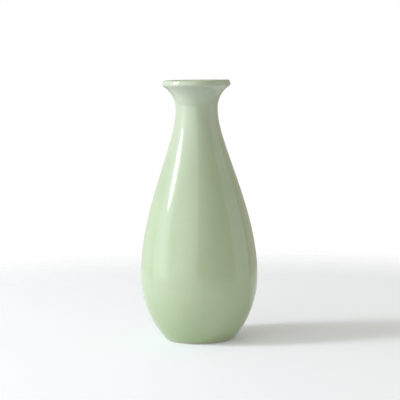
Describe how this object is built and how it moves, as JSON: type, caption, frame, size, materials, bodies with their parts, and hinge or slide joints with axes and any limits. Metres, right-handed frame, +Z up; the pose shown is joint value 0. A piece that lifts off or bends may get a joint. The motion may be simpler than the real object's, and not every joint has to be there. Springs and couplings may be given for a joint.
{
  "type": "sake bottle",
  "caption": "Pear-shaped glazed porcelain sake bottle with a flared, rolled lip, a narrow throat, a full low belly and a bare turned foot ring.",
  "frame": {"origin": "middle of the foot ring, on the surface that the bottle stands on", "axes": "+Z up along the bottle's axis of revolution. X and Y are interchangeable"},
  "size_m": [0.0788, 0.0788, 0.175],
  "materials": {
    "porcelain": "fired, unglazed, smooth",
    "celadon_glaze": "high-gloss fired glaze"
  },
  "bodies": {
    "root": {"porcelain_body": "porcelain", "outer_glaze": "celadon_glaze", "liner_glaze": "celadon_glaze", "foot_glaze": "celadon_glaze"}
  },
  "joints": []
}
